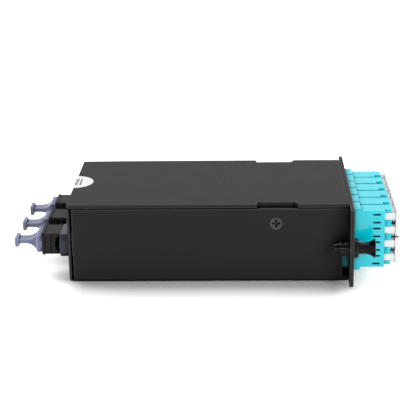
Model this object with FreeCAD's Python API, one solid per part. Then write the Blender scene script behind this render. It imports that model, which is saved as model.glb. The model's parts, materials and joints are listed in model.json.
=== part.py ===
import FreeCAD, Part
import math
import os
from FreeCAD import Vector

os.makedirs("parts", exist_ok=True)

# A fibre cassette that lies on its base. A folded steel tray carries six quad fibre adapters in its
# faceplate and three trunk adapters in its rear wall, under a sheet cover held by two screws.
# X runs from the trunk adapters to the faceplate, Y across the body, Z up, in millimetres.
# The origin is the middle of the body's underside.

# Steel tray and cover
body_length = 121.0         # rear wall's outer face to the faceplate's back
sheet = 1.0                 # painted steel sheet of the tray's floor and walls
faceplate_sheet = 1.6       # of its faceplate
cover_sheet = 1.6
bend_radius = 2.0           # outside of every fold
seam_gap = 0.3              # open seam between two folded walls
cover_gap = 0.5             # under the cover, above the walls
cover_front_gap = 0.3       # between the cover and the faceplate
cover_corner_radius = 1.3
dimple_diameter = 1.4
dimple_depth = 0.4
dimple_x = 6.65
dimple_y = -1.6
side_room = 2.45            # between the row of quad adapters and each side wall
room_below = 5.42           # from the base to the adapters
room_above = 4.53           # from the adapters to the cover's top

# Faceplate with its two ears
ear_length = 8.7            # past each side of the body
faceplate_bottom = 0.65
faceplate_drop = 0.5        # below the cover's top
ear_corner_radius = 1.2
wall_notch_length = 2.4     # notch at the front end of each side wall
wall_notch_bottom = 2.2
wall_notch_top = 16.9

# Screws through the side walls, and the angle brackets that they pull on, under the cover
screw_x = 29.3
screw_drop = 8.75           # axis below the cover's top
screw_diameter = 3.0
screw_head_diameter = 6.2
screw_head_depth = 1.1
screw_length = 5.6
screw_clearance = 0.1       # all round the thread and the head
recess_length = 3.5         # cross recess in the head
recess_width = 0.8
recess_depth = 0.8
bracket_width = 14.0
bracket_sheet = 1.4
bracket_foot = 9.0          # leg that lies under the cover
bracket_depth = 13.4        # leg behind the side wall, below the cover
bracket_clearance = 0.15    # between that leg and the wall
bracket_corner_radius = 2.0
notch_half_length = 8.0     # notch in the cover's edge over each bracket
notch_inset = 3.0
notch_splay_rear = 0.35     # how much wider the notch is at the cover's edge, at each end
notch_splay_front = 1.55
nut_diameter = 5.6
nut_length = 2.2

# Round seal, folded over the cover's rear edge
seal_diameter = 17.9
seal_thickness = 0.12
seal_past_edge = 0.9        # its centre lies this far past the edge

# Quad adapters in the faceplate
lc_count = 6
lc_pitch = 10.0
lc_thickness = 9.1
lc_front_length = 16.9      # past the faceplate's front
lc_rear_length = 16.3       # behind the faceplate's front
lc_edge_radius = 0.35
mouth_length = 3.0          # thinner stretch at each mouth
mouth_setback = 3.0
flange_length = 3.6
flange_rise = 1.22
window_clearance = 0.15     # adapters in the faceplate's window
port_count = 4
port_pitch = 6.25
port_size = 4.7
lc_end_wall = 1.05          # between an adapter's end and its last port
ferrule_offset = 5.8        # port's axis from the adapter's latch side
mid_wall = 2.0              # wall between a port's two sockets
mid_wall_offset = 0.5       # its middle, in front of the faceplate
latch_notch_width = 3.4     # notch for a plug's latch, in each mouth
latch_channel_width = 2.5   # channel behind it
latch_skin = 1.2            # wall over each latch channel
latch_run = 9.8             # length of each latch channel behind the mouth step
pocket_length = 3.2         # pair of slots in the latch side of every port
pocket_height = 0.8
pocket_depth = 2.4
pocket_spacing = 3.54
pocket_start = 8.85         # from the faceplate's front

# Ceramic sleeves in the adapters
tube_diameter = 2.8
tube_length = 7.4
sleeve_diameter = 1.66
sleeve_bore = 1.28
sleeve_length = 6.8
sleeve_slot = 0.25
sleeve_clearance = 0.04     # radial

# Spring clips behind the faceplate
clip_thickness = 0.25
clip_width = 4.0
clip_start = 2.6            # behind the faceplate's back
clip_seat_clearance = 0.05
clip_leaf_width = 4.7
clip_spring_rise = 1.5
clip_spring_gap = 0.15      # before the faceplate's back

# Double dust caps on the quad adapters
cap_clearance = 0.15        # round each stem
cap_reach = 6.5             # stem inside the port
cap_neck = 1.9              # bare stem between adapter and plate
cap_plate_thickness = 1.8
cap_plate_depth = 6.4
cap_plate_gap = 0.35        # between the plates of neighbouring caps
cap_plate_radius = 0.9
cap_bore = 2.7
cap_web_thickness = 0.45    # web between a cap's two stems
cap_rib_clearance = 0.1     # each side of the rib that fills a latch notch
cap_stem_radius = 0.44      # long edges of a stem

# Plugs on the inner side of the quad adapters
plug_size = 4.5
plug_edge_radius = 0.45
plug_length = 17.0
plug_nose_bore = 3.2
plug_nose_depth = 4.6
ferrule_diameter = 1.25
plug_boot_length = 8.0
plug_boot_diameter = 3.2
plug_boot_tip_diameter = 2.0
plug_lever_width = 2.4
plug_lever_thickness = 0.9
plug_lever_length = 9.0

# Trunk adapters in the rear wall
mtp_count = 3
mtp_pitch = 21.5
mtp_z = 16.0
mtp_width = 13.2
mtp_height = 9.6
mtp_edge_radius = 1.1
mtp_outer_length = 12.1     # outside the rear wall
mtp_inner_length = 12.1     # inside the rear wall's outer face
mtp_lip_length = 1.1        # raised rim at the outer mouth
mtp_lip_rise = 0.25
mtp_socket_width = 11.2
mtp_socket_height = 7.2
mtp_neck_wall = 0.6         # wall of the body where the collar goes round it
mtp_mid_wall = 2.4
mtp_window_width = 6.8      # ferrule passage in the middle wall
mtp_window_height = 2.9
mtp_groove_width = 0.5
mtp_groove_depth = 0.3
mtp_groove_place = 3.75     # from the outer mouth
mtp_rim_notch_length = 0.6  # notch in each side of the rim
mtp_rim_notch_height = 3.3
mtp_scoop_diameter = 11.0   # curved window in each side, beside the collar
mtp_scoop_bite = 2.35
mtp_hole_clearance = 0.2
collar_length = 4.15
collar_width = 17.4
collar_rise = 4.75          # from the adapter's middle to the collar's top
collar_bevel_y = 1.9
collar_bevel_z = 2.35
collar_bore_clearance = 0.1
sill_width = 17.0           # black sill of the adapter, under the collar's two legs
sill_rise = 1.3
sill_setback = 0.25         # behind the collar's outer end
mtp_clip_thickness = 0.35
mtp_clip_length = 3.0

# Dust caps of the trunk adapters
mcap_clearance = 0.15
mcap_reach = 5.0
mcap_plate_thickness = 2.5
mcap_plate_width = 11.8
mcap_plate_height = 7.9
mcap_plate_radius = 0.5
mcap_funnel_length = 4.6
mcap_neck_length = 3.7
mcap_neck_width = 6.0
mcap_neck_thickness = 2.0
mcap_neck_radius = 0.4
mcap_end_thickness = 1.65
mcap_end_width = 7.6
mcap_end_height = 4.6
mcap_end_drop = 0.25        # its middle below the neck's
mcap_end_radius = 1.2
mcap_end_edge_radius = 0.4
mcap_core_width = 8.0       # hollow in the cap's plug
mcap_core_height = 4.6

# Trunk plugs and the fibre harness
mplug_width = 10.9
mplug_height = 7.1
mplug_radius = 0.7
mplug_body_length = 14.0
mplug_grip_width = 12.4
mplug_grip_height = 8.6
mplug_grip_radius = 1.4
mplug_boot_length = 9.0
mplug_boot_tip_diameter = 4.4
trunk_diameter = 3.0
fibre_diameter = 0.9
fan_length = 9.0
fan_width = 8.0
fan_height = 6.4
fan_radius = 0.8
fan_front_x = 6.0
fibre_row_pitch = 1.3
fibre_column_pitch = 2.2
fibre_straight = 9.0        # straight run at each end of a fibre
arc_share = 0.45            # of the shorter run at a bend, taken up by the bend's arc
saddle_length = 6.0
saddle_floor = 1.6
saddle_post_width = 10.4
saddle_cheek_height = 2.6
saddle_clearance = 0.1

# Push latches in the ears
latch_z = 17.15
latch_from_wall = 4.7       # axis outside the side wall
grommet_flange_diameter = 8.6
grommet_flange_thickness = 2.1
grommet_flange_radius = 0.8
grommet_barrel_diameter = 6.5
grommet_bore = 5.2
grommet_reach = 6.8         # behind the faceplate
grommet_barb_diameter = 7.0
grommet_tip_diameter = 4.8
grommet_tip_length = 2.8
grommet_barb_fall = 1.5     # from the barb back down to the barrel
grommet_bore_stop = 1.9     # where the bore ends, from the tip
grommet_slot = 1.3
grommet_turn = 33.0         # turn of the slots about the latch's axis, in degrees
ear_hole_clearance = 0.1
plunger_diameter = 5.0
plunger_neck_length = 2.45  # straight neck in front of the grommet
plunger_head_diameter = 8.8
plunger_flare_length = 4.4
plunger_rim = 0.1
plunger_dome = 0.5
plunger_core_diameter = 3.4
plunger_tip_clearance = 0.1
latch_travel = 2.8

# Places worked out from the sizes above
lc_row = (lc_count - 1) * lc_pitch + lc_thickness
lc_height = (port_count - 1) * port_pitch + port_size + 2 * lc_end_wall
lc_z = room_below + lc_height / 2
body_width = lc_row + 2 * (side_room + sheet)
body_height = room_below + lc_height + room_above
rear_x = -body_length / 2
face_back = body_length / 2
face_front = face_back + faceplate_sheet
side_y = body_width / 2
inner_y = side_y - sheet
cover_under = body_height - cover_sheet
wall_top = cover_under - cover_gap
faceplate_top = body_height - faceplate_drop
screw_z = body_height - screw_drop
sill_top = mtp_z - mtp_height / 2 + sill_rise
inner_radius = bend_radius - sheet
sleeve_x = face_front + mid_wall_offset
weld_x = sleeve_x - mid_wall / 2        # where an adapter's two housings meet
over = 1.0                  # length by which a cutter passes through what it cuts
hair = 0.001                # leaves a sliver of flat beside a fold, so that its arc can be made
close = 0.1                 # how near a plane an edge has to lie to be picked by it


def block(x0, x1, y0, y1, z0, z1):
    return Part.makeBox(x1 - x0, y1 - y0, z1 - z0, Vector(x0, y0, z0))


def rod(diameter, x0, x1, y, z):
    return Part.makeCylinder(diameter / 2, x1 - x0, Vector(x0, y, z), Vector(1, 0, 0))


def cone(d0, d1, x0, x1, y, z):
    return Part.makeCone(d0 / 2, d1 / 2, x1 - x0, Vector(x0, y, z), Vector(1, 0, 0))


def edges_along(shape, axis, keep):
    """Straight edges parallel to an axis whose middle passes the test."""
    found = []
    for edge in shape.Edges:
        if len(edge.Vertexes) != 2:
            continue
        run = edge.Vertexes[1].Point - edge.Vertexes[0].Point
        if run.Length < 1e-6 or abs(abs(run.dot(axis)) / run.Length - 1) > 1e-6:
            continue
        middle = (edge.Vertexes[0].Point + edge.Vertexes[1].Point) * 0.5
        if keep(middle):
            found.append(edge)
    return found


def rounded(shape, radius, axis, keep=lambda middle: True):
    return shape.makeFillet(radius, edges_along(shape, axis, keep))


def moved(shape, x=0.0, y=0.0, z=0.0):
    copy = shape.copy()
    copy.translate(Vector(x, y, z))
    return copy


def span(side, near, far):
    """Low and high end of a stretch given for the +Y side, on the side asked for."""
    return sorted((side * near, side * far))


def section_yz(x, points):
    """Face in the plane X = x from a list of (y, z) corners."""
    corners = [Vector(x, y, z) for y, z in points]
    return Part.Face(Part.makePolygon(corners + corners[:1]))


def flared(start, end, low, high):
    """Arc's middle point, as (place, height), that leaves the low height level and ends at the high."""
    run = end - start
    rise = high - low
    radius = (run ** 2 + rise ** 2) / (2 * rise)
    turn = math.asin(run / radius) / 2
    return start + radius * math.sin(turn), low + radius * (1 - math.cos(turn))


def save(name, *solids):
    shape = solids[0] if len(solids) == 1 else Part.makeCompound(list(solids))
    if not shape.isValid():
        print("invalid shape:", name)
    shape.exportStep("parts/" + name + ".step")
    print(name, "solids", len(shape.Solids), "volume", round(shape.Volume, 2))


X_AXIS = Vector(1, 0, 0)
Y_AXIS = Vector(0, 1, 0)
Z_AXIS = Vector(0, 0, 1)

lc_ys = [(k - (lc_count - 1) / 2) * lc_pitch for k in range(lc_count)]
mtp_ys = [(k - (mtp_count - 1) / 2) * mtp_pitch for k in range(mtp_count)]
port_zs = [lc_z + (k - (port_count - 1) / 2) * port_pitch for k in range(port_count)]
port_y = ferrule_offset - lc_thickness / 2      # port's axis from an adapter's middle
window_y = lc_ys[-1] + lc_thickness / 2 + window_clearance
window_z = lc_height / 2 + window_clearance
latch_y = side_y + latch_from_wall


# Tray: floor, side walls and rear wall folded from one sheet, and a thicker faceplate welded on
def long_block(x0, x1):
    """The tray's outside, solid, with both long folds."""
    outside = block(x0, x1, -side_y, side_y, 0, wall_top)
    return rounded(outside, bend_radius, X_AXIS, lambda m: m.z < sheet)


def fold_trough(x0, x1):
    """Floor and side walls."""
    outside = long_block(x0, x1)
    inside = block(x0 - over, x1 + over, -inner_y, inner_y, sheet, wall_top + over)
    inside = rounded(inside, inner_radius, X_AXIS, lambda m: m.z < 2 * sheet)
    return outside.cut(inside)


def fold_end(face_x, inward, half_width, top):
    """End wall with its fold: face_x is its outer face, inward points into the body."""
    far = face_x + inward * bend_radius
    low, high = sorted((face_x, far))
    outside = block(low, high, -half_width, half_width, 0, top)
    outside = rounded(outside, bend_radius - hair, Y_AXIS,
                      lambda m: m.z < sheet and abs(m.x - face_x) < close)
    skin = face_x + inward * sheet
    low, high = sorted((skin, far + inward * over))
    inside = block(low, high, -half_width - over, half_width + over, sheet, top + over)
    inside = rounded(inside, inner_radius - hair, Y_AXIS,
                     lambda m: m.z < 2 * sheet and abs(m.x - skin) < close)
    return outside.cut(inside)


def make_tray():
    wall_end = face_back - seam_gap
    trough = fold_trough(rear_x + bend_radius, wall_end)
    flat_y = side_y - bend_radius
    floor = block(rear_x + bend_radius, face_front - bend_radius, -flat_y, flat_y, 0, sheet)
    rear = fold_end(rear_x, 1, side_y, wall_top).common(long_block(rear_x, rear_x + bend_radius))
    front = fold_end(face_front, -1, flat_y - seam_gap, faceplate_top)
    plate = block(face_back, face_front, -side_y - ear_length, side_y + ear_length,
                  faceplate_bottom, faceplate_top)
    plate = rounded(plate, ear_corner_radius, X_AXIS)
    plate_foot = block(face_back - over, face_front + over, -flat_y + seam_gap, flat_y - seam_gap,
                       faceplate_bottom - over, bend_radius)
    tray = trough.fuse([floor, rear, plate.cut(plate_foot), front]).removeSplitter()

    cutters = []
    rear_skin = rear_x + sheet
    for side in (-1, 1):
        low, high = span(side, flat_y, side_y + over)
        cutters.append(block(rear_skin, rear_skin + seam_gap, low, high, -over, wall_top + over))
        cutters.append(block(wall_end - wall_notch_length, wall_end + seam_gap / 2, low, high,
                             wall_notch_bottom, wall_notch_top))
        cutters.append(rod(grommet_barrel_diameter + 2 * ear_hole_clearance,
                           face_back - over, face_front + over, side * latch_y, latch_z))
        cutters.append(screw_hole(side))
    cutters.append(block(face_back - over, face_front + over, -window_y, window_y,
                         lc_z - window_z, lc_z + window_z))
    half_width = mtp_width / 2 + mtp_hole_clearance
    half_height = mtp_height / 2 + mtp_hole_clearance
    for y in mtp_ys:
        cutters.append(block(rear_x - over, rear_x + sheet + over, y - half_width, y + half_width,
                             mtp_z - half_height, mtp_z + half_height))
    return tray.cut(cutters)


def screw_solid(side, diameter, head_diameter, length):
    """Countersunk screw or its hole: flush head at the wall's outer face, axis along Y."""
    inward = Vector(0, -side, 0)
    start = Vector(screw_x, side * side_y, screw_z)
    head = Part.makeCone(head_diameter / 2, diameter / 2, screw_head_depth, start, inward)
    shank = Part.makeCylinder(diameter / 2, length, start, inward)
    return head.fuse(shank)


def screw_hole(side):
    wide = screw_diameter + 2 * screw_clearance
    head = screw_head_diameter + 2 * screw_clearance
    return screw_solid(side, wide, head, sheet + over)


# Cover: flat sheet with a splayed notch over each bracket
def make_cover():
    cover = block(rear_x, face_back - cover_front_gap, -side_y, side_y, cover_under, body_height)
    cover = rounded(cover, cover_corner_radius, Z_AXIS, lambda m: m.x < 0)
    rear = screw_x - notch_half_length
    front = screw_x + notch_half_length
    for side in (-1, 1):
        edge = side * side_y
        past = side * (side_y + over)
        inner = side * (side_y - notch_inset)
        points = [(rear, inner), (rear - notch_splay_rear, edge), (rear - notch_splay_rear, past),
                  (front + notch_splay_front, past), (front + notch_splay_front, edge), (front, inner)]
        corners = [Vector(x, y, cover_under - over) for x, y in points]
        notch = Part.Face(Part.makePolygon(corners + corners[:1]))
        cover = cover.cut(notch.extrude(Vector(0, 0, cover_sheet + 2 * over)))
    centre = Vector(dimple_x, dimple_y, body_height + dimple_diameter / 2 - dimple_depth)
    dimple = Part.makeSphere(dimple_diameter / 2, centre)
    return cover.cut(dimple)


def make_bracket(side):
    """Angle under the cover and behind the side wall, with a hole for the screw."""
    outer = inner_y - bracket_clearance
    low_x = screw_x - bracket_width / 2
    high_x = screw_x + bracket_width / 2
    bottom = cover_under - bracket_depth
    low, high = span(side, outer - bracket_foot, outer)
    angle = block(low_x, high_x, low, high, bottom, cover_under)
    angle = rounded(angle, bend_radius, X_AXIS,
                    lambda m: m.z > cover_under - close and abs(m.y) > outer - close)
    low, high = span(side, outer - bracket_foot - over, outer - bracket_sheet)
    hollow = block(low_x - over, high_x + over, low, high, bottom - over, cover_under - bracket_sheet)
    hollow = rounded(hollow, bend_radius - bracket_sheet, X_AXIS,
                     lambda m: m.z > cover_under - bracket_sheet - close
                     and abs(m.y) > outer - bracket_sheet - close)
    angle = angle.cut(hollow)
    angle = rounded(angle, bracket_corner_radius, Y_AXIS, lambda m: m.z < bottom + close)
    hole = Part.makeCylinder(screw_diameter / 2 + screw_clearance, bracket_sheet + 2 * over,
                             Vector(screw_x, side * (outer + over), screw_z), Vector(0, -side, 0))
    return angle.cut(hole)


def make_screw(side):
    body = screw_solid(side, screw_diameter, screw_head_diameter, screw_length)
    low, high = span(side, side_y - recess_depth, side_y + over)
    half_length = recess_length / 2
    half_width = recess_width / 2
    flat = block(screw_x - half_length, screw_x + half_length, low, high,
                 screw_z - half_width, screw_z + half_width)
    upright = block(screw_x - half_width, screw_x + half_width, low, high,
                    screw_z - half_length, screw_z + half_length)
    return body.cut(flat.fuse(upright))


def make_nut(side):
    seat = side * (inner_y - bracket_clearance - bracket_sheet)
    body = Part.makeCylinder(nut_diameter / 2, nut_length, Vector(screw_x, seat, screw_z),
                             Vector(0, -side, 0))
    bore = Part.makeCylinder(screw_diameter / 2 + screw_clearance / 2, nut_length + 2 * over,
                             Vector(screw_x, seat + side * over, screw_z), Vector(0, -side, 0))
    return body.cut(bore)


# Seal: a round film over the joint of cover and rear wall
def make_seal():
    radius = seal_diameter / 2
    top = Part.makeCylinder(radius, seal_thickness, Vector(rear_x - seal_past_edge, 0, body_height))
    top = top.common(block(rear_x - seal_thickness, rear_x + radius, -radius, radius,
                           body_height, body_height + seal_thickness))
    drop = Part.makeCylinder(radius, seal_thickness,
                             Vector(rear_x - seal_thickness, 0, body_height - seal_past_edge),
                             X_AXIS)
    drop = drop.common(block(rear_x - seal_thickness, rear_x, -radius, radius,
                             body_height - seal_diameter, body_height + seal_thickness))
    return top.fuse(drop).removeSplitter()


# Quad adapter, in the middle of the row, its latch side towards -Y, welded from two housings
def socket_cut(z, mouth_x, floor_x, axis_y):
    low, high = sorted((mouth_x, floor_x))
    half = port_size / 2
    return block(low, high, axis_y - half, axis_y + half, z - half, z + half)


def make_lc_adapter():
    near = -lc_thickness / 2
    far = lc_thickness / 2
    bottom = lc_z - lc_height / 2
    top = lc_z + lc_height / 2
    front = face_front + lc_front_length
    rear = face_front - lc_rear_length
    body = block(rear + mouth_length, front - mouth_length, near, far, bottom, top)
    body = rounded(body, lc_edge_radius, X_AXIS)
    mouths = block(rear, front, near + mouth_setback, far, bottom, top)
    mouths = rounded(mouths, lc_edge_radius, X_AXIS)
    flange = block(face_front, face_front + flange_length, near, far,
                   bottom - flange_rise, top + flange_rise)
    flange = rounded(flange, lc_edge_radius, Y_AXIS)
    adapter = body.fuse([mouths, flange]).removeSplitter()
    step_front = front - mouth_length
    step_rear = rear + mouth_length
    half_notch = latch_notch_width / 2
    half_channel = latch_channel_width / 2
    cutters = []
    tubes = []
    for z in port_zs:
        cutters.append(socket_cut(z, front + over, weld_x + mid_wall, port_y))
        cutters.append(socket_cut(z, rear - over, weld_x, port_y))
        channel_near = near + latch_skin
        for start, end, half in ((step_front - latch_run, step_front, half_channel),
                                 (step_front, front + over, half_notch),
                                 (step_rear, step_rear + latch_run, half_channel),
                                 (rear - over, step_rear, half_notch)):
            cutters.append(block(start, end, channel_near, port_y, z - half, z + half))
        for side in (-1, 1):
            pocket_z = z + side * pocket_spacing / 2
            cutters.append(block(face_front + pocket_start, face_front + pocket_start + pocket_length,
                                 near - over, near + pocket_depth,
                                 pocket_z - pocket_height / 2, pocket_z + pocket_height / 2))
        tubes.append(rod(tube_diameter, sleeve_x - tube_length / 2, sleeve_x + tube_length / 2,
                         port_y, z))
    adapter = adapter.cut(cutters)
    bores = [rod(sleeve_diameter + 2 * sleeve_clearance, sleeve_x - tube_length,
                 sleeve_x + tube_length, port_y, z) for z in port_zs]
    seat = clip_thickness + clip_seat_clearance
    clip_low = face_back - clip_start - clip_width
    ring = block(clip_low, clip_low + clip_width + 2 * clip_seat_clearance, near - over, far + over,
                 bottom - over, top + over)
    core = block(clip_low - over, face_back, near - over, far - seat, bottom + seat, top - seat)
    past = block(rear - over, weld_x, near - over, far + over, bottom - over, top + over)
    front_housing = adapter.cut(past).fuse(tubes).removeSplitter().cut(bores)
    rear_housing = adapter.common(past).cut(ring.cut(core))
    return front_housing, rear_housing


def make_sleeve(z, y):
    start = sleeve_x - sleeve_length / 2
    sleeve = rod(sleeve_diameter, start, start + sleeve_length, y, z)
    sleeve = sleeve.cut(rod(sleeve_bore, start - over, start + sleeve_length + over, y, z))
    return sleeve.cut(block(start - over, start + sleeve_length + over, y, y + sleeve_diameter,
                            z - sleeve_slot / 2, z + sleeve_slot / 2))


# Spring clip: a strap in the adapter's groove, with a sprung leaf at each short end
def make_lc_clip():
    far = lc_thickness / 2 - clip_seat_clearance / 2
    near = -lc_thickness / 2
    low_x = face_back - clip_start - clip_width + clip_seat_clearance
    high_x = low_x + clip_width
    half = lc_height / 2 - clip_seat_clearance / 2
    outside = block(low_x, high_x, near, far, lc_z - half, lc_z + half)
    inside = block(low_x - over, high_x + over, near - over, far - clip_thickness,
                   lc_z - half + clip_thickness, lc_z + half - clip_thickness)
    clip = outside.cut(inside)
    leaf_end = face_back - clip_spring_gap
    leaf_half = clip_leaf_width / 2
    for side in (-1, 1):
        root = lc_z + side * half
        inner_root = lc_z + side * (half - clip_thickness)
        tip = root + side * clip_spring_rise
        inner_tip = tip - side * clip_thickness
        bend_x = high_x - clip_width / 2
        outline = [(bend_x, inner_root), (high_x, root), (leaf_end, inner_tip), (leaf_end, tip),
                   (high_x, root + side * clip_thickness), (bend_x, root)]
        corners = [Vector(x, -leaf_half, z) for x, z in outline]
        leaf = Part.Face(Part.makePolygon(corners + corners[:1])).extrude(Vector(0, 2 * leaf_half, 0))
        clip = clip.fuse(leaf)
    return clip.removeSplitter()


# Double dust cap: two hollow stems on one plate, for the ports at two heights
def make_lc_cap(z_low, z_high):
    near = -lc_thickness / 2
    front = face_front + lc_front_length
    plate_x = front + cap_neck
    stem = port_size - 2 * cap_clearance
    solids = []
    bores = []
    for z in (z_low, z_high):
        shank = block(front - cap_reach, plate_x, port_y - stem / 2, port_y + stem / 2,
                      z - stem / 2, z + stem / 2)
        solids.append(rounded(shank, cap_stem_radius, X_AXIS))
        rib_half = latch_notch_width / 2 - cap_rib_clearance
        solids.append(block(front - mouth_length + cap_rib_clearance, plate_x,
                            near + mouth_setback + cap_rib_clearance, port_y,
                            z - rib_half, z + rib_half))
        bores.append(rod(cap_bore, front - cap_reach - over, front, port_y, z))
    middle = (z_low + z_high) / 2
    half_height = port_pitch - cap_plate_gap / 2
    plate_near = near + mouth_setback - cap_rib_clearance
    plate = block(plate_x, plate_x + cap_plate_thickness, plate_near, plate_near + cap_plate_depth,
                  middle - half_height, middle + half_height)
    plate = rounded(plate, cap_plate_radius, X_AXIS)
    web_x = front + (cap_neck - cap_web_thickness) / 2
    web = block(web_x, web_x + cap_web_thickness, port_y, port_y + stem / 2, z_low, z_high)
    return plate.fuse(solids + [web]).cut(bores).removeSplitter()


# Plug on the inner side of a quad adapter's port
def make_lc_plug(z, y):
    nose_x = weld_x - cap_clearance
    tail_x = nose_x - plug_length
    half = plug_size / 2
    body = block(tail_x, nose_x, y - half, y + half, z - half, z + half)
    body = rounded(body, plug_edge_radius, X_AXIS)
    body = body.cut(rod(plug_nose_bore, nose_x - plug_nose_depth, nose_x + over, y, z))
    lever_near = y - half - plug_lever_thickness
    lever = block(nose_x - mouth_length - plug_lever_length, nose_x - mouth_length, lever_near, y,
                  z - plug_lever_width / 2, z + plug_lever_width / 2)
    ferrule = rod(ferrule_diameter, nose_x - plug_nose_depth - over, sleeve_x - sleeve_clearance, y, z)
    boot = cone(plug_boot_tip_diameter, plug_boot_diameter, tail_x - plug_boot_length, tail_x, y, z)
    core = rod(plug_nose_bore, nose_x - plug_nose_depth, nose_x + over, y, z)
    return body.fuse([lever.cut(core), boot]).fuse(ferrule).removeSplitter()


# Trunk adapter: black body through the rear wall, with a slate collar round it outside
def section_block(x0, x1, y, z, width, height, radius):
    solid = block(x0, x1, y - width / 2, y + width / 2, z - height / 2, z + height / 2)
    return rounded(solid, radius, X_AXIS)


def mtp_neck(clearance):
    """Thinner stretch of the trunk adapter's body under the collar, or the collar's bore."""
    grow = 2 * (mtp_neck_wall + clearance)
    return section_block(rear_x - collar_length - clearance, rear_x + clearance, 0, mtp_z,
                         mtp_socket_width + grow, mtp_socket_height + grow, mtp_neck_wall)


def make_mtp_adapter():
    outer = rear_x - mtp_outer_length
    inner = rear_x + mtp_inner_length
    adapter = section_block(outer, inner, 0, mtp_z, mtp_width, mtp_height, mtp_edge_radius)
    rim = section_block(outer, outer + mtp_lip_length, 0, mtp_z, mtp_width + 2 * mtp_lip_rise,
                        mtp_height + 2 * mtp_lip_rise, mtp_edge_radius)
    around = block(rear_x - collar_length, rear_x, -mtp_width, mtp_width,
                   mtp_z - mtp_height, mtp_z + mtp_height)
    adapter = adapter.cut(around.cut(mtp_neck(0)))
    sill = block(rear_x - collar_length + sill_setback, rear_x, -sill_width / 2, sill_width / 2,
                 mtp_z - mtp_height / 2, sill_top)
    half_w = mtp_socket_width / 2
    half_h = mtp_socket_height / 2
    middle = rear_x
    cutters = [block(outer - over, middle - mtp_mid_wall / 2, -half_w, half_w,
                     mtp_z - half_h, mtp_z + half_h),
               block(middle + mtp_mid_wall / 2, inner + over, -half_w, half_w,
                     mtp_z - half_h, mtp_z + half_h),
               block(middle - mtp_mid_wall, middle + mtp_mid_wall, -mtp_window_width / 2,
                     mtp_window_width / 2, mtp_z - mtp_window_height / 2,
                     mtp_z + mtp_window_height / 2)]
    groove_x = outer + mtp_groove_place
    for side in (-1, 1):
        low, high = span(side, mtp_width / 2 - mtp_groove_depth, mtp_width)
        cutters.append(block(groove_x, groove_x + mtp_groove_width, low, high,
                             mtp_z - mtp_height, mtp_z + mtp_height))
        scoop_x = rear_x - collar_length - mtp_scoop_bite + mtp_scoop_diameter / 2
        floor_y = side * (half_w - over)
        scoop = Part.makeCylinder(mtp_scoop_diameter / 2, mtp_width, Vector(scoop_x, floor_y, mtp_z),
                                  Vector(0, side, 0))
        low, high = sorted((floor_y, floor_y + side * mtp_width))
        scoop = scoop.common(block(rear_x - mtp_outer_length, rear_x - collar_length, low, high,
                                   mtp_z - mtp_height, mtp_z + mtp_height))
        cutters.append(scoop)
        low, high = span(side, half_w - over, mtp_width)
        cutters.append(block(outer - over, outer + mtp_rim_notch_length, low, high,
                             mtp_z - mtp_rim_notch_height / 2, mtp_z + mtp_rim_notch_height / 2))
    return adapter.fuse([rim, sill]).cut(cutters).removeSplitter()


def make_collar():
    """Saddle over the adapter's neck: its two legs stand on the adapter's sill."""
    half_w = collar_width / 2
    flat_w = half_w - collar_bevel_y
    top = mtp_z + collar_rise
    points = [(-half_w, sill_top), (half_w, sill_top), (half_w, top - collar_bevel_z), (flat_w, top),
              (-flat_w, top), (-half_w, top - collar_bevel_z)]
    collar = section_yz(rear_x - collar_length, points).extrude(Vector(collar_length, 0, 0))
    return collar.cut(mtp_neck(collar_bore_clearance))


def make_mtp_clip(y):
    """Spring frame round the adapter's body, against the rear wall's inner face."""
    start = rear_x + sheet
    width = mtp_width + 2 * (collar_bore_clearance + mtp_clip_thickness)
    height = mtp_height + 2 * (collar_bore_clearance + mtp_clip_thickness)
    frame = section_block(start, start + mtp_clip_length, y, mtp_z, width, height,
                          mtp_edge_radius + mtp_clip_thickness)
    bore = section_block(start - over, start + mtp_clip_length + over, y, mtp_z,
                         mtp_width + 2 * collar_bore_clearance, mtp_height + 2 * collar_bore_clearance,
                         mtp_edge_radius)
    rim = section_block(start, start + mtp_clip_thickness, y, mtp_z, width + 2 * mtp_clip_thickness,
                        height + 4 * mtp_clip_thickness, mtp_edge_radius)
    return frame.fuse(rim).cut(bore).removeSplitter()


# Trunk dust cap: hollow plug, plate, funnel, flat neck and end plate
def make_mtp_cap():
    mouth = rear_x - mtp_outer_length
    plug_w = mtp_socket_width - 2 * mcap_clearance
    plug_h = mtp_socket_height - 2 * mcap_clearance
    plug = section_block(mouth, mouth + mcap_reach, 0, mtp_z, plug_w, plug_h, mcap_plate_radius)
    plug = plug.cut(block(mouth + mcap_clearance, mouth + mcap_reach + over, -mcap_core_width / 2,
                          mcap_core_width / 2, mtp_z - mcap_core_height / 2,
                          mtp_z + mcap_core_height / 2))
    plate_x = mouth - mcap_plate_thickness
    plate = section_block(plate_x, mouth, 0, mtp_z, mcap_plate_width, mcap_plate_height,
                          mcap_plate_radius)
    neck_x = plate_x - mcap_funnel_length
    end_x = neck_x - mcap_neck_length
    neck = section_block(end_x, neck_x, 0, mtp_z, mcap_neck_width, mcap_neck_thickness,
                         mcap_neck_radius)
    end = section_block(end_x - mcap_end_thickness, end_x, 0, mtp_z - mcap_end_drop, mcap_end_width,
                        mcap_end_height, mcap_end_radius)
    end = rounded(end, mcap_end_edge_radius, Z_AXIS)
    return plug.fuse([plate, make_funnel(neck_x, plate_x), neck, end]).removeSplitter()


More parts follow.
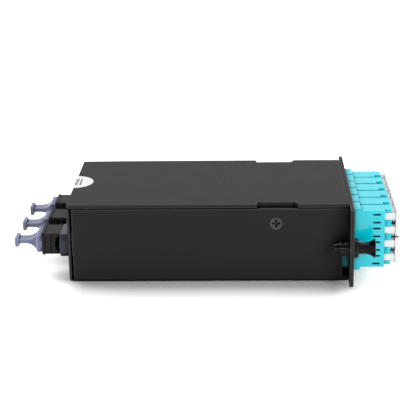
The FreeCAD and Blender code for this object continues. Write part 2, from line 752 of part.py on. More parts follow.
def make_funnel(neck_x, plate_x):
    """Solid whose width and height both widen along an arc from the neck to the plate."""
    wide = mcap_plate_width / 2 - mcap_plate_radius
    tall = mcap_plate_height / 2 - mcap_plate_radius
    parts = []
    for half_small, half_large, plane in ((mcap_neck_width / 2, wide, "y"),
                                          (mcap_neck_thickness / 2, tall, "z")):
        mid_x, mid_half = flared(neck_x, plate_x, half_small, half_large)

        def point(x, half):
            return Vector(x, half, mtp_z) if plane == "y" else Vector(x, 0, mtp_z + half)
        top = Part.Arc(point(neck_x, half_small), point(mid_x, mid_half),
                       point(plate_x, half_large)).toShape()
        low = Part.Arc(point(neck_x, -half_small), point(mid_x, -mid_half),
                       point(plate_x, -half_large)).toShape()
        wire = Part.Wire([top, Part.makeLine(point(plate_x, half_large), point(plate_x, -half_large)),
                          low, Part.makeLine(point(neck_x, -half_small), point(neck_x, half_small))])
        reach = Vector(0, 0, mcap_plate_height) if plane == "y" else Vector(0, mcap_plate_width, 0)
        face = Part.Face(wire)
        face.translate(reach * -0.5)
        parts.append(face.extrude(reach))
    return parts[0].common(parts[1])


# Trunk plug, fan-out block, fibres and the saddle that carries them
def make_mtp_plug(y):
    nose = rear_x + mtp_mid_wall / 2 + mcap_clearance
    tail = nose + mplug_body_length
    body = section_block(nose, tail, y, mtp_z, mplug_width, mplug_height, mplug_radius)
    grip_x = rear_x + mtp_inner_length + mcap_clearance
    grip = section_block(grip_x, tail, y, mtp_z, mplug_grip_width, mplug_grip_height,
                         mplug_grip_radius)
    boot = cone(mplug_height, mplug_boot_tip_diameter, tail, tail + mplug_boot_length, y, mtp_z)
    return body.fuse([grip, boot]).removeSplitter()


def tube_along(points, diameter):
    """Tube along straight runs joined by tangent arcs."""
    edges = []
    last = points[0]
    for before, corner, after in zip(points, points[1:], points[2:]):
        run_in = corner - before
        run_out = after - corner
        turn = run_in.getAngle(run_out)
        if turn < 1e-4:
            continue
        reach = arc_share * min(run_in.Length, run_out.Length)
        one = Vector(run_in).normalize()
        two = Vector(run_out).normalize()
        start = corner - one * reach
        end = corner + two * reach
        radius = reach / math.tan(turn / 2)
        inward = (two - one).normalize()
        centre = corner + inward * (radius / math.cos(turn / 2))
        middle = centre - inward * radius
        edges.append(Part.makeLine(last, start))
        edges.append(Part.Arc(start, middle, end).toShape())
        last = end
    edges.append(Part.makeLine(last, points[-1]))
    path = Part.Wire(edges)
    ring = Part.Wire(Part.makeCircle(diameter / 2, points[0], points[1] - points[0]))
    return path.makePipeShell([ring], True, False)


def lc_plug_tail():
    return weld_x - cap_clearance - plug_length - plug_boot_length


def make_fibres(k):
    """Trunk cable from the boot to the fan-out block, and eight fibres on to two adapters."""
    y = mtp_ys[k]
    boot_end = rear_x + mtp_mid_wall / 2 + mcap_clearance + mplug_body_length + mplug_boot_length
    fan_back = fan_front_x - fan_length
    trunk = rod(trunk_diameter, boot_end, fan_back, y, mtp_z)
    fibres = [trunk]
    tail_x = lc_plug_tail()
    share = lc_count // mtp_count
    for column in range(share):
        for row in range(port_count):
            start_y = y + (column - (share - 1) / 2) * fibre_column_pitch
            start_z = mtp_z + (row - (port_count - 1) / 2) * fibre_row_pitch
            end_y = lc_ys[k * share + column] + port_y
            end_z = port_zs[row]
            points = [Vector(fan_front_x, start_y, start_z),
                      Vector(fan_front_x + fibre_straight, start_y, start_z),
                      Vector(tail_x - fibre_straight, end_y, end_z),
                      Vector(tail_x, end_y, end_z)]
            fibres.append(tube_along(points, fibre_diameter))
    return fibres


def make_fan_out(y):
    block_x = fan_front_x - fan_length
    return section_block(block_x, fan_front_x, y, mtp_z, fan_width, fan_height, fan_radius)


def make_saddle():
    """Moulded strip on the floor with a post and two cheeks under every fan-out block."""
    middle = fan_front_x - fan_length / 2
    low_x = middle - saddle_length / 2
    high_x = middle + saddle_length / 2
    strip_y = mtp_ys[-1] + saddle_post_width / 2
    saddle = block(low_x, high_x, -strip_y, strip_y, sheet, sheet + saddle_floor)
    fan_bottom = mtp_z - fan_height / 2
    for y in mtp_ys:
        post = block(low_x, high_x, y - saddle_post_width / 2, y + saddle_post_width / 2, sheet,
                     fan_bottom + saddle_cheek_height)
        half = fan_width / 2 + saddle_clearance
        post = post.cut(block(low_x - over, high_x + over, y - half, y + half, fan_bottom,
                              fan_bottom + saddle_cheek_height + over))
        saddle = saddle.fuse(post)
    return saddle.removeSplitter()


# Push latch: split grommet in the ear, and the plunger that spreads it
def make_grommet():
    front = face_front + grommet_flange_thickness
    flange = rod(grommet_flange_diameter, face_front, front, 0, latch_z)
    rims = [edge for edge in flange.Edges
            if len(edge.Vertexes) == 1 and edge.BoundBox.XMin > front - close]
    flange = flange.makeFillet(grommet_flange_radius, rims)
    tip = face_back - grommet_reach
    shoulder = tip + grommet_tip_length
    barrel = rod(grommet_barrel_diameter, shoulder, face_front + grommet_flange_thickness / 2, 0, latch_z)
    rise = cone(grommet_tip_diameter, grommet_barb_diameter, tip, shoulder, 0, latch_z)
    fall = cone(grommet_barb_diameter, grommet_barrel_diameter, shoulder, shoulder + grommet_barb_fall,
                0, latch_z)
    body = flange.fuse([barrel, rise, fall])
    bore = rod(grommet_bore, tip + grommet_bore_stop, front + over, 0, latch_z)
    passage = rod(plunger_core_diameter + 2 * plunger_tip_clearance, tip - over, front, 0, latch_z)
    slot_end = face_back - sheet / 2
    half = grommet_slot / 2
    wide = grommet_barb_diameter
    slots = [block(tip - over, slot_end, -wide, wide, latch_z - half, latch_z + half),
             block(tip - over, slot_end, -half, half, latch_z - wide, latch_z + wide)]
    for slot in slots:
        slot.rotate(Vector(0, 0, latch_z), X_AXIS, -grommet_turn)
    return body.cut([bore, passage] + slots).removeSplitter()


def make_plunger():
    front = face_front + grommet_flange_thickness
    neck_end = front + plunger_neck_length
    rim_x = neck_end + plunger_flare_length
    tip = face_back - grommet_reach
    stop = tip + grommet_bore_stop + latch_travel + plunger_tip_clearance
    radius = plunger_diameter / 2
    core = plunger_core_diameter / 2
    head = plunger_head_diameter / 2

    def at(x, r):
        return Vector(x, 0, latch_z + r)
    corner = at(*flared(neck_end, rim_x, radius, head))
    dome_end = rim_x + plunger_rim + plunger_dome
    dome_radius = (head ** 2 + plunger_dome ** 2) / (2 * plunger_dome)
    dome_middle = at(dome_end - dome_radius + math.sqrt(dome_radius ** 2 - head ** 2 / 4), head / 2)
    lines = [Part.makeLine(at(tip + plunger_tip_clearance, 0), at(tip + plunger_tip_clearance, core)),
             Part.makeLine(at(tip + plunger_tip_clearance, core), at(stop, core)),
             Part.makeLine(at(stop, core), at(stop, radius)),
             Part.makeLine(at(stop, radius), at(neck_end, radius)),
             Part.Arc(at(neck_end, radius), corner, at(rim_x, head)).toShape(),
             Part.makeLine(at(rim_x, head), at(rim_x + plunger_rim, head)),
             Part.Arc(at(rim_x + plunger_rim, head), dome_middle, at(dome_end, 0)).toShape(),
             Part.makeLine(at(dome_end, 0), at(tip + plunger_tip_clearance, 0))]
    face = Part.Face(Part.Wire(lines))
    return face.revolve(Vector(0, 0, latch_z), X_AXIS, 360)


save("base_tray", make_tray())
save("top_cover", make_cover())
save("cover_screws", *[make_screw(side) for side in (-1, 1)])
save("cover_brackets", *[make_bracket(side) for side in (-1, 1)])
save("cover_nuts", *[make_nut(side) for side in (-1, 1)])
save("seal_label", make_seal())

lc_adapter, lc_rear = make_lc_adapter()
lc_clip = make_lc_clip()
for k, y in enumerate(lc_ys, start=1):
    save(f"lc_adapter_{k}", moved(lc_adapter, y=y))
    save(f"lc_plugs_{k}", *[make_lc_plug(z, y + port_y) for z in port_zs])
save("lc_rear_housings", *[moved(lc_rear, y=y) for y in lc_ys])
save("lc_clips", *[moved(lc_clip, y=y) for y in lc_ys])
save("ferrule_sleeves", *[make_sleeve(z, y + port_y) for y in lc_ys for z in port_zs])

cap_number = 0
for y in lc_ys:
    for pair in range(port_count // 2):
        cap_number += 1
        cap = make_lc_cap(port_zs[2 * pair], port_zs[2 * pair + 1])
        save(f"lc_cap_{cap_number:02d}", moved(cap, y=y))

mtp_adapter = make_mtp_adapter()
collar = make_collar()
mtp_cap = make_mtp_cap()
for k, y in enumerate(mtp_ys, start=1):
    save(f"mtp_adapter_{k}", moved(mtp_adapter, y=y))
    save(f"mtp_collar_{k}", moved(collar, y=y))
    save(f"mtp_cap_{k}", moved(mtp_cap, y=y))
    save(f"mtp_plug_{k}", make_mtp_plug(y))
    save(f"fan_out_{k}", make_fan_out(y))
    save(f"fibres_{k}", *make_fibres(k - 1))
save("mtp_clips", *[make_mtp_clip(y) for y in mtp_ys])
save("harness_saddle", make_saddle())

grommet = make_grommet()
plunger = make_plunger()
for name, side in (("near", -1), ("far", 1)):
    save(f"latch_grommet_{name}", moved(grommet, y=side * latch_y))
    save(f"latch_plunger_{name}", moved(plunger, y=side * latch_y))
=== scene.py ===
# %% [markdown]
# # A fibre cassette
# A flat steel box that turns three many-fibre trunk cables into 24 single-fibre ports. Its frame
# comes packed from the CAD model: every piece is already in its place, in metres. What is left to do
# here is what the eye reads as real: broken corners, finishes and light.

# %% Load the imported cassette
import json
import math

import bmesh
import bpy
from mathutils import Matrix, Vector


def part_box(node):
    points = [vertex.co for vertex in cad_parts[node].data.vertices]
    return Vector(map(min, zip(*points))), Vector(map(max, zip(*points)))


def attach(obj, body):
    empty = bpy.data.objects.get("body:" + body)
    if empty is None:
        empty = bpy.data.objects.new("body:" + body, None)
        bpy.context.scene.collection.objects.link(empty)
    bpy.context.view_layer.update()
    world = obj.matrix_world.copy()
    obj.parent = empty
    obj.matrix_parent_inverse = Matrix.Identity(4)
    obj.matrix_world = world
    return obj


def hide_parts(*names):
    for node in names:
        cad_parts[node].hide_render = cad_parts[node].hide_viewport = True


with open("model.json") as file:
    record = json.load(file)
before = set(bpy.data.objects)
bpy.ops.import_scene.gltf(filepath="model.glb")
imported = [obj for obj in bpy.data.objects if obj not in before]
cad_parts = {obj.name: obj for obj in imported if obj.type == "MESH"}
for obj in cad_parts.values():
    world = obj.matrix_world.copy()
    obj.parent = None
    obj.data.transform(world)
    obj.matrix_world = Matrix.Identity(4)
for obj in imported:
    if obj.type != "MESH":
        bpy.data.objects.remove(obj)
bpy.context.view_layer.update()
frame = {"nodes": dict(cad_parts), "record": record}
nodes = frame["nodes"]
MM = 0.001
carrier = {node: body for body, group in frame["record"]["behaviour"]["bodies"].items() for node in group}
finish_of = {part["node"]: part["material_slot"] for part in frame["record"]["subparts"]}

# %% [markdown]
# ## The camera
# The photo was taken from about 60 cm through a long lens. Its uprights are all but parallel, as a
# shifted lens makes them, but a shift that large would push the cassette out of every other view. So
# the camera is tilted instead, from the place and with the lens that bring all corners closest.

# %% Place the camera
camera_place = Vector((18.91, -564.05, 212.0)) * MM
camera_yaw = math.radians(-2.011)
camera_pitch = math.radians(18.524)
camera_roll = math.radians(-0.921)

level_forward = Vector((math.sin(camera_yaw), math.cos(camera_yaw), 0))
level_right = Vector((math.cos(camera_yaw), -math.sin(camera_yaw), 0))
forward = level_forward * math.cos(camera_pitch) - Vector((0, 0, math.sin(camera_pitch)))
pitched_up = level_right.cross(forward)
right = level_right * math.cos(camera_roll) + pitched_up * math.sin(camera_roll)
up = pitched_up * math.cos(camera_roll) - level_right * math.sin(camera_roll)

camera_data = bpy.data.cameras.new("photo_camera")
camera_data.sensor_fit = "HORIZONTAL"
camera_data.sensor_width = 36
camera_data.lens = 113.77
camera = bpy.data.objects.new("photo_camera", camera_data)
turn = Matrix((right, up, -forward)).transposed().to_4x4()
camera.matrix_world = Matrix.Translation(camera_place) @ turn
bpy.context.scene.collection.objects.link(camera)
bpy.context.scene.camera = camera
print("camera looks along", [round(value, 3) for value in forward])

# %% [markdown]
# ## Small helpers for materials
# Colours are read off a colour picker, which gives sRGB, while the shader works in linear light, so one
# function turns one into the other. Another adds a node with its settings and its links, which keeps
# each material short enough to read as a recipe. Most inputs go by their name. A Mix node's two colours
# and a Math node's second and third numbers share one name, so those go by their place.


# %% Colour and node helpers
MIX_NONE, MIX_FULL, MIX_RESULT = 6, 7, 2
SECOND, THIRD = 1, 2


def linear(hex_colour):
    """sRGB colour such as #1a2b3c as the linear RGBA that a shader takes."""
    channels = [int(hex_colour[i:i + 2], 16) / 255 for i in (1, 3, 5)]
    return [c / 12.92 if c <= 0.04045 else ((c + 0.055) / 1.055) ** 2.4 for c in channels] + [1.0]


def add(tree, kind, settings=None, links=None):
    """A node of that kind, with its sockets or properties set and its inputs linked."""
    node = tree.nodes.new(kind)
    for name, value in (settings or {}).items():
        if isinstance(name, int) or name in node.inputs:
            node.inputs[name].default_value = value
        else:
            setattr(node, name, value)
    for name, source in (links or {}).items():
        tree.links.new(source, node.inputs[name])
    return node


def new_material(name, **settings):
    """A material whose Principled shader has these settings, its tree and that shader."""
    material = bpy.data.materials.new(name)
    material.use_nodes = True
    shader = material.node_tree.nodes["Principled BSDF"]
    for socket, value in settings.items():
        shader.inputs[socket.replace("_", " ")].default_value = value
    return material, material.node_tree, shader


def place(tree):
    """Object coordinates, which stay on the piece as it moves."""
    return add(tree, "ShaderNodeTexCoord").outputs["Object"]


print("mid grey in linear light is", [round(value, 3) for value in linear("#808080")])

# %% [markdown]
# ## Grain, mottle, painted shade in crevices and painted highlights on rims
# No moulded or painted surface is one flat value. A fine grain is left by the powder or by the
# spark-eroded mould, and handling gives the gloss a slow drift. Both are noise in millimetres of the
# real surface. Where walls stand close together the colour is painted darker as shade and the surface
# turns dull, and outer corners get a painted highlight in a lighter colour. Ambient occlusion measures
# both, the second from inside the piece, and it is given the true normal, so that rounded edges don't
# disturb the flats beside them.


# %% One function for every surface
def surface_detail(tree, shader, grain_mm, grain_depth_mm, base, shade, gloss, gloss_drift, mottle_mm=9.0,
                   crevice_shade=None, edge_highlight=None):
    """Bump of that grain, and a slow drift in colour and roughness. The shade for crevices is a reach in mm
    and a colour: surfaces that are that closely hemmed in go towards that colour as painted shade and
    turn dull. The highlight for edges is the same for outer corners, a painted highlight in a lighter
    colour. Gives the output that holds the colour."""
    where = place(tree)
    grain = add(tree, "ShaderNodeTexNoise", {"Scale": 1 / (grain_mm * MM), "Detail": 3.0, "Roughness": 0.55},
                {"Vector": where})
    bump = add(tree, "ShaderNodeBump", {"Strength": 1.0, "Distance": grain_depth_mm * MM},
               {"Height": grain.outputs["Fac"]})
    tree.links.new(bump.outputs["Normal"], shader.inputs["Normal"])
    mottle = add(tree, "ShaderNodeTexNoise", {"Scale": 1 / (mottle_mm * MM), "Detail": 4.0, "Roughness": 0.6},
                 {"Vector": where})
    colour = add(tree, "ShaderNodeMix",
                 {"data_type": "RGBA", MIX_NONE: linear(base), MIX_FULL: linear(shade)},
                 {"Factor": mottle.outputs["Fac"]}).outputs[MIX_RESULT]
    rough = add(tree, "ShaderNodeMapRange", {"From Min": 0.3, "From Max": 0.7, "To Min": gloss - gloss_drift,
                                             "To Max": gloss + gloss_drift},
                {"Value": mottle.outputs["Fac"]}).outputs["Result"]
    flat = add(tree, "ShaderNodeNewGeometry").outputs["True Normal"]
    # painted highlight: outer corners go towards the lighter colour
    if edge_highlight:
        reach_mm, bright = edge_highlight
        thin = add(tree, "ShaderNodeAmbientOcclusion",
                   {"Distance": reach_mm * MM, "samples": 8, "inside": True, "only_local": True},
                   {"Normal": flat})
        flat_share = add(tree, "ShaderNodeMapRange", {"From Min": 0.55, "From Max": 0.95},
                         {"Value": thin.outputs["AO"]})
        colour = add(tree, "ShaderNodeMix", {"data_type": "RGBA", MIX_NONE: linear(bright)},
                     {"Factor": flat_share.outputs["Result"], MIX_FULL: colour}).outputs[MIX_RESULT]
    # painted shade: closely hemmed-in surfaces go towards the dark colour and turn dull
    if crevice_shade:
        reach_mm, dark = crevice_shade
        near = add(tree, "ShaderNodeAmbientOcclusion", {"Distance": reach_mm * MM, "samples": 8},
                   {"Normal": flat})
        open_share = add(tree, "ShaderNodeMapRange", {"From Min": 0.35, "From Max": 0.98},
                         {"Value": near.outputs["AO"]})
        colour = add(tree, "ShaderNodeMix", {"data_type": "RGBA", MIX_NONE: linear(dark)},
                     {"Factor": open_share.outputs["Result"], MIX_FULL: colour}).outputs[MIX_RESULT]
        rough = add(tree, "ShaderNodeMapRange", {"To Min": 1.0},
                    {"Value": open_share.outputs["Result"], "To Max": rough}).outputs["Result"]
    tree.links.new(colour, shader.inputs["Base Color"])
    tree.links.new(rough, shader.inputs["Roughness"])
    return colour


# %% [markdown]
# ## Powder-coated steel
# The tray and the cover are steel sheet under black polyester powder, baked on. It is satin, with a very
# fine orange peel, and a dielectric like any paint, so it has no metallic part. Seen at a low angle, as
# the cover is here, it reflects the pale room and looks grey. The peel is drawn at half a millimetre,
# twice as coarse as it is, because a finer one wouldn't show.


# %% Black coats
def powder_coat():
    """Satin black, with a painted highlight along its edges and painted shade in its crevices."""
    material, tree, shader = new_material("black_polyester_powder_coat", IOR=1.5, Specular_IOR_Level=0.17)
    surface_detail(tree, shader, grain_mm=0.55, grain_depth_mm=0.012, base="#181818", shade="#1c1c1c",
                   gloss=0.58, gloss_drift=0.02, crevice_shade=(1.8, "#010101"), edge_highlight=(0.8, "#3c3c3c"))
    return material


def notch_shade_coat():
    """A near-black copy of the powder coat, painted shade: the brackets sit in a slot under the cover and
    show only as a black gap.
    """
    material, tree, shader = new_material("powder_coat_painted_notch_shade", IOR=1.5, Specular_IOR_Level=0.05)
    surface_detail(tree, shader, grain_mm=0.55, grain_depth_mm=0.012, base="#060606", shade="#080808",
                   gloss=0.7, gloss_drift=0.02)
    return material


# %% [markdown]
# ## Zinc, spring steel and ceramic
# The cover screws are black zinc plated, the press nuts bright zinc, and the clips rolled spring steel.
# The sleeves are polished zirconia, the hardest and whitest thing in the cassette. All but the screws
# are inside, so their recipes are short, but each still has the streaks or mottle of its making.


# %% Metals and ceramic
def black_zinc(axis_x, axis_z, rim_radius):
    """Plating, with painted shade in its crevices and a black ring of painted shade where the edge of a head
    rolls off into its countersink.
    """
    ring_start, ring_full = rim_radius - 0.45 * MM, rim_radius - 0.1 * MM
    material, tree, shader = new_material("black_zinc_plated_steel", Metallic=0.8, Specular_IOR_Level=0.05)
    plated = surface_detail(tree, shader, grain_mm=0.4, grain_depth_mm=0.006, base="#424244", shade="#4a4a4c",
                            gloss=0.42, gloss_drift=0.06, mottle_mm=2.0, crevice_shade=(1.6, "#000000"))
    axes = add(tree, "ShaderNodeSeparateXYZ", links={"Vector": place(tree)})
    across = add(tree, "ShaderNodeCombineXYZ", links={"X": axes.outputs["X"], "Y": axes.outputs["Z"]})
    reach = add(tree, "ShaderNodeVectorMath", {"operation": "DISTANCE", SECOND: (axis_x, axis_z, 0)},
                {"Vector": across.outputs["Vector"]})
    # painted shade: a black ring at the head's edge, where it meets its countersink
    face = add(tree, "ShaderNodeMapRange", {"From Min": ring_full, "From Max": ring_start},
               {"Value": reach.outputs["Value"]})
    ring_shade = add(tree, "ShaderNodeMix", {"data_type": "RGBA", MIX_NONE: linear("#000000")},
                 {"Factor": face.outputs["Result"], MIX_FULL: plated})
    tree.links.new(ring_shade.outputs[MIX_RESULT], shader.inputs["Base Color"])
    return material


def rolled_steel(name, base, shade, gloss):
    """Bright steel with streaks along X from rolling, painted darker as shade where it is hemmed in inside
    the closed box.
    """
    material, tree, shader = new_material(name, Metallic=1.0)
    where = add(tree, "ShaderNodeMapping", {"Scale": (40, 900, 900)}, {"Vector": place(tree)})
    streak = add(tree, "ShaderNodeTexNoise", {"Scale": 2.0, "Detail": 4.0},
                 {"Vector": where.outputs["Vector"]})
    colour = add(tree, "ShaderNodeMix",
                 {"data_type": "RGBA", MIX_NONE: linear(base), MIX_FULL: linear(shade)},
                 {"Factor": streak.outputs["Fac"]})
    # painted shade: hemmed-in steel goes towards near black
    near = add(tree, "ShaderNodeAmbientOcclusion", {"Distance": 6 * MM, "samples": 8})
    hemmed_shade = add(tree, "ShaderNodeMix", {"data_type": "RGBA", MIX_NONE: linear("#050505")},
                 {"Factor": near.outputs["AO"], MIX_FULL: colour.outputs[MIX_RESULT]})
    tree.links.new(hemmed_shade.outputs[MIX_RESULT], shader.inputs["Base Color"])
    rough = add(tree, "ShaderNodeMapRange", {"To Min": gloss - 0.08, "To Max": gloss + 0.08},
                {"Value": streak.outputs["Fac"]})
    tree.links.new(rough.outputs["Result"], shader.inputs["Roughness"])
    return material


def zirconia():
    """Ceramic, polished to a hard white gloss."""
    material, tree, shader = new_material("polished_zirconia", IOR=2.1)
    surface_detail(tree, shader, grain_mm=0.3, grain_depth_mm=0.001, base="#efeee8", shade="#e6e4dc",
                   gloss=0.12, gloss_drift=0.03, mottle_mm=1.5)
    return material


# %% [markdown]
# ## Moulded plastics
# The quad adapters and plugs are PBT in aqua, the colour code of one fibre grade, with a smooth mould
# finish that mirrors the latch in front of it. The trunk adapters are black PBT with a matt eroded
# texture, their collars slate grey, and the trunk caps a soft lavender-grey elastomer.


# %% Opaque plastics
def moulded(name, base, shade, gloss, grain_mm=0.35, grain_depth_mm=0.004, gloss_drift=0.04, crevice_shade=None,
            edge_highlight=None, specular=0.5):
    """A solid plastic, coloured through, with the texture of its mould."""
    material, tree, shader = new_material(name, IOR=1.5, Specular_IOR_Level=specular)
    surface_detail(tree, shader, grain_mm, grain_depth_mm, base, shade, gloss, gloss_drift, crevice_shade=crevice_shade,
                   edge_highlight=edge_highlight)
    return material


# %% [markdown]
# ## Natural polyethylene
# The port caps are uncoloured low-density polyethylene. Light enters it and scatters a millimetre or
# two before it leaves, so edges glow and thick parts look milky. Subsurface scattering gives that more
# faithfully than transparency, and stays opaque enough to hide the ports.


# %% Translucent caps
def natural_polyethylene():
    """Milky plastic in which light spreads before it comes out again."""
    material, tree, shader = new_material("natural_polyethylene", IOR=1.51, Subsurface_Weight=0.7,
                                          Subsurface_Radius=(1.0, 0.95, 0.9), Subsurface_Scale=1.2 * MM)
    # painted shade: greyer where the stems and plates stand close together
    surface_detail(tree, shader, grain_mm=0.5, grain_depth_mm=0.006, base="#f4f3f2", shade="#efeeed",
                   gloss=0.34, gloss_drift=0.04, crevice_shade=(1.6, "#8c8c92"))
    return material


# %% [markdown]
# ## The seal
# A white vinyl film, laid over the edge of the cover so that opening the box tears it. It carries a
# plain pattern: a hatched block at the fold, and one bar beyond it. Both are worked out from the
# distance to the seal's own centre, so they stay sharp at any size.


# %% Printed film
def seal_film(centre, block_mm, bar_mm, half_height_mm, hatch_mm):
    """White film with a hatched block and a bar, each given by where it starts and ends along X."""
    stroke_share = 0.7
    material, tree, shader = new_material("white_vinyl_film", IOR=1.45)
    film = surface_detail(tree, shader, grain_mm=0.6, grain_depth_mm=0.004, base="#ececec", shade="#e4e4e4",
                          gloss=0.45, gloss_drift=0.05)
    where = add(tree, "ShaderNodeMapping", {"Location": tuple(-value for value in centre)},
                {"Vector": place(tree)})
    axes = add(tree, "ShaderNodeSeparateXYZ", links={"Vector": where.outputs["Vector"]})
    within = []
    for axis, (low_mm, high_mm) in (("X", block_mm), ("X", bar_mm), ("Y", (-half_height_mm, half_height_mm))):
        middle, reach = (low_mm + high_mm) / 2 * MM, (high_mm - low_mm) / 2 * MM
        inside = add(tree, "ShaderNodeMath", {"operation": "COMPARE", SECOND: middle, THIRD: reach},
                     {"Value": axes.outputs[axis]})
        within.append(inside.outputs["Value"])
    block, bar, height = within
    wave = add(tree, "ShaderNodeMath", {"operation": "PINGPONG", SECOND: hatch_mm * MM},
               {"Value": axes.outputs["Y"]})
    stroke = add(tree, "ShaderNodeMath", {"operation": "LESS_THAN", SECOND: hatch_mm * MM * stroke_share},
                 {"Value": wave.outputs["Value"]})
    hatched = add(tree, "ShaderNodeMath", {"operation": "MULTIPLY"},
                  {"Value": block, SECOND: stroke.outputs["Value"]})
    figures = add(tree, "ShaderNodeMath", {"operation": "MAXIMUM"},
                  {"Value": hatched.outputs["Value"], SECOND: bar})
    ink = add(tree, "ShaderNodeMath", {"operation": "MULTIPLY"},
              {"Value": figures.outputs["Value"], SECOND: height})
    printed = add(tree, "ShaderNodeMix", {"data_type": "RGBA", MIX_FULL: linear("#4a4b4d")},
                  {"Factor": ink.outputs["Value"], MIX_NONE: film})
    tree.links.new(printed.outputs[MIX_RESULT], shader.inputs["Base Color"])
    return material


# %% [markdown]
# ## One finish for each slot
# The record names a material slot for every node. A dictionary from slot to finish dresses the whole
# cassette in one loop, the hidden pieces too, because other views and sections will show them.

# %% Dress every node
seal_low, seal_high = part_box("seal_label")
seal_radius = (seal_high.y - seal_low.y) / 2
seal_centre = Vector((seal_high.x - seal_radius, 0, 0))
screw_low, screw_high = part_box("cover_screws")
screw_middle = (screw_low + screw_high) / 2
screw_radius = (screw_high.x - screw_low.x) / 2

finishes = {
    "black_powder_coat": powder_coat(),
    "black_zinc_screw": black_zinc(screw_middle.x, screw_middle.z, screw_radius),
    "zinc_steel": rolled_steel("bright_zinc_plated_steel", "#b9bdc2", "#a2a6ac", 0.34),
    "spring_steel": rolled_steel("rolled_spring_steel", "#a9acb0", "#8f9297", 0.28),
    "zirconia": zirconia(),
    "natural_cap_polymer": natural_polyethylene(),
    "seal_film": seal_film(seal_centre, block_mm=(0.4, 2.4), bar_mm=(3.1, 3.8), half_height_mm=4.8,
                           hatch_mm=0.85),
    # smooth PBT, which keeps a clear mirror image; between two adapters it is painted deep teal as shade
    "aqua_polymer": moulded("aqua_pbt", "#00d4e4", "#00cfdf", 0.14, crevice_shade=(3.2, "#003844")),
    "aqua_plug_polymer": moulded("aqua_plug_pbt", "#12b9c8", "#10b2c2", 0.25),
    # PBT from a spark-eroded mould, matt and coarse, with painted shade in its crevices
    "black_adapter_polymer": moulded("black_textured_pbt", "#141413", "#191918", 0.5, grain_mm=0.5,
                                     grain_depth_mm=0.012, crevice_shade=(1.8, "#010101"), specular=0.16),
    # satin PBT, bluish, with a painted highlight on its corners and painted shade in its crevices
    "slate_polymer": moulded("slate_pbt", "#1f2431", "#242936", 0.34, crevice_shade=(2.0, "#030406"),
                             edge_highlight=(0.5, "#4c566c"), specular=0.3),
    # soft elastomer, greasy to the touch, with a painted highlight along its edges and painted shade in its
    # crevices
    "lavender_cap_polymer": moulded("lavender_elastomer", "#6e7294", "#74789a", 0.28,
                                    crevice_shade=(2.0, "#10111a"), edge_highlight=(0.7, "#b6bad8"), specular=0.4),
    # a thin vinyl jacket, and polyamide that holds the fibres
    "aqua_fibre_jacket": moulded("aqua_fibre_jacket", "#12b9c8", "#10aebe", 0.42),
    "harness_polymer": moulded("black_harness_pa", "#1b1b1c", "#202021", 0.45),
    # nylon from a polished mould, almost black, with sharp reflections, a painted highlight on its edges and
    # painted shade in its crevices
    "latch_polymer": moulded("black_latch_nylon", "#020203", "#040405", 0.08, crevice_shade=(1.8, "#000000"),
                             edge_highlight=(0.3, "#4a4a4c"), specular=0.14),
}
for node, piece in nodes.items():
    for used in piece.material_slots:
        used.material = finishes[finish_of[node]]
print("finishes", len(finishes))

# %% [markdown]
# ## Broken corners
# Nothing folded, stamped or moulded has a corner of no radius, and the thin light line along each edge
# is what tells the eye its size. The CAD copy is a soup of triangles, so the copy is merged, its flat
# faces are made whole again, and then the sharp edges alone are bevelled. Weighted normals keep the
# large flats flat beside the new edges.


# %% Soften a CAD piece
def broken_corners(node, radius_mm, finish):
    """A copy of a CAD piece with its sharp edges rounded, which stands for the plain one."""
    weld_mm, flat_degrees, sharp_degrees = 0.002, 0.3, 24
    mesh = bpy.data.meshes.new(node + "_body")
    bm = bmesh.new()
    bm.from_mesh(nodes[node].data)
    bmesh.ops.remove_doubles(bm, verts=bm.verts, dist=weld_mm * MM)
    bmesh.ops.dissolve_limit(bm, angle_limit=math.radians(flat_degrees), verts=bm.verts, edges=bm.edges)
    bm.to_mesh(mesh)
    bm.free()
    piece = bpy.data.objects.new(mesh.name, mesh)
    bpy.context.scene.collection.objects.link(piece)
    bevel = piece.modifiers.new("edge", "BEVEL")
    bevel.width = radius_mm * MM
    bevel.segments = 2
    bevel.limit_method = "ANGLE"
    bevel.angle_limit = math.radians(sharp_degrees)
    bevel.use_clamp_overlap = True
    flats = piece.modifiers.new("flats", "WEIGHTED_NORMAL")
    flats.mode = "FACE_AREA"
    flats.weight = 100
    mesh.shade_smooth()
    mesh.materials.append(finish)
    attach(piece, carrier[node])
    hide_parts(node)
    return piece


# %% Soften the visible pieces
edge_radii = {"base_tray": 0.25, "top_cover": 0.25, "cover_screws": 0.3, "cover_brackets": 0.2}
edge_radii.update({f"lc_adapter_{k}": 0.12 for k in range(1, 7)})
edge_radii.update({f"lc_cap_{k:02d}": 0.15 for k in range(1, 13)})
for k in range(1, 4):
    edge_radii.update({f"mtp_adapter_{k}": 0.12, f"mtp_collar_{k}": 0.25, f"mtp_cap_{k}": 0.22})
for side in ("near", "far"):
    edge_radii.update({f"latch_grommet_{side}": 0.08, f"latch_plunger_{side}": 0.08})
for node, radius in edge_radii.items():
    # the brackets in the notch take a near-black copy of the powder coat, painted shade
    in_the_notch = node == "cover_brackets"
    broken_corners(node, radius, notch_shade_coat() if in_the_notch else finishes[finish_of[node]])
print("softened pieces", len(edge_radii))

# %% [markdown]
# ## Floor and light
# A product photo on white: a pale floor that keeps the contact shadow, a white room, and large soft
# lamps. The floor and the room are shown lighter to the rays that come straight from the camera, off a
# mirror or through glass, so that they reach white without any more light falling on the object.


# %% Rays that see the background
def seen_directly(tree):
    """1 for a ray from the camera, off a gloss or through a clear piece, 0 for a ray that lights."""
    path = add(tree, "ShaderNodeLightPath")
    direct = path.outputs["Is Camera Ray"]
    for kind in ("Is Glossy Ray", "Is Transmission Ray"):
        direct = add(tree, "ShaderNodeMath", {"operation": "MAXIMUM"},
                     {"Value": direct, SECOND: path.outputs[kind]}).outputs["Value"]
    return direct


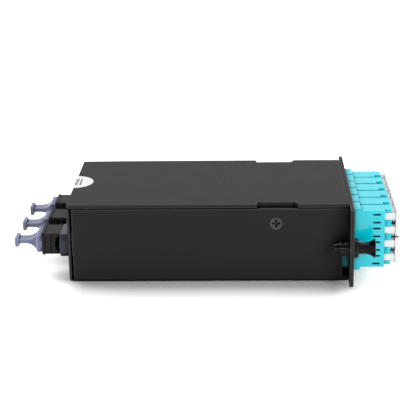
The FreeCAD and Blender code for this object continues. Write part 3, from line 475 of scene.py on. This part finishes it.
# %% Floor
def studio_floor():
    """Pale paint that keeps the shadow, with a painted glow that lifts it to white away from the body and
    beyond its two ends.
    """
    shadow_reach, body_end, clear_of_body = 45 * MM, 54 * MM, 72 * MM
    material = bpy.data.materials.new("white_studio_floor")
    material.use_nodes = True
    tree = material.node_tree
    tree.nodes.clear()
    # painted light: the glow fades near the body with its occlusion, which paints the soft edge of the
    # contact shadow, and rises beyond the two ends, which paints out the shade under the overhanging adapters
    near = add(tree, "ShaderNodeAmbientOcclusion", {"Distance": shadow_reach, "samples": 16})
    lift = add(tree, "ShaderNodeMapRange", {"From Min": 0.54, "From Max": 0.92, "To Max": 0.5},
               {"Value": near.outputs["AO"]})
    axes = add(tree, "ShaderNodeSeparateXYZ", links={"Vector": place(tree)})
    along = add(tree, "ShaderNodeMath", {"operation": "ABSOLUTE"}, {"Value": axes.outputs["X"]})
    ends = add(tree, "ShaderNodeMapRange", {"From Min": body_end, "From Max": clear_of_body, "To Max": 0.75},
               {"Value": along.outputs["Value"]})
    total = add(tree, "ShaderNodeMath", {"operation": "ADD"},
                {"Value": lift.outputs["Result"], SECOND: ends.outputs["Result"]})
    strength = add(tree, "ShaderNodeMath", {"operation": "MULTIPLY"},
                   {"Value": total.outputs["Value"], SECOND: seen_directly(tree)})
    paint = add(tree, "ShaderNodeBsdfDiffuse", {"Color": linear("#e8e8e8")})
    glow = add(tree, "ShaderNodeEmission", {"Color": linear("#ffffff")},
               {"Strength": strength.outputs["Value"]})
    lifted = add(tree, "ShaderNodeAddShader")
    tree.links.new(paint.outputs["BSDF"], lifted.inputs[0])
    tree.links.new(glow.outputs["Emission"], lifted.inputs[1])
    add(tree, "ShaderNodeOutputMaterial", links={"Surface": lifted.outputs["Shader"]})
    return material


floor_half_width = 1.5
floor_mesh = bpy.data.meshes.new("studio_floor")
bm = bmesh.new()
bmesh.ops.create_grid(bm, x_segments=1, y_segments=1, size=floor_half_width)
bm.to_mesh(floor_mesh)
bm.free()
floor_mesh.materials.append(studio_floor())
floor = bpy.data.objects.new("studio_floor", floor_mesh)
bpy.context.scene.collection.objects.link(floor)
print("floor", 2 * floor_half_width, "m wide")

# %% Room
world = bpy.data.worlds.new("white_room")
bpy.context.scene.world = world
world.use_nodes = True
tree = world.node_tree
background = tree.nodes["Background"]
background.inputs["Color"].default_value = linear("#ffffff")
strength = add(tree, "ShaderNodeMapRange", {"To Min": 0.32, "To Max": 1.0}, {"Value": seen_directly(tree)})
tree.links.new(strength.outputs["Result"], background.inputs["Strength"])


# %% Lamps
def soft_lamp(name, place_mm, aim_mm, width_mm, depth_mm, watts):
    """A rectangular area lamp that faces a point."""
    data = bpy.data.lights.new(name, "AREA")
    data.shape = "RECTANGLE"
    data.size = width_mm * MM
    data.size_y = depth_mm * MM
    data.energy = watts
    lamp = bpy.data.objects.new(name, data)
    lamp.location = Vector(place_mm) * MM
    lamp.rotation_euler = (Vector(aim_mm) - Vector(place_mm)).to_track_quat("-Z", "Y").to_euler()
    bpy.context.scene.collection.objects.link(lamp)
    return lamp


overhead = soft_lamp("overhead", (0, 230, 700), (0, 0, 0), width_mm=2000, depth_mm=320, watts=7.0)
front = soft_lamp("front", (620, -700, 300), (20, 0, 15), width_mm=520, depth_mm=520, watts=6.0)
bpy.context.scene.view_settings.view_transform = "Standard"
print("lamps", [(lamp.name, lamp.data.energy) for lamp in (overhead, front)])
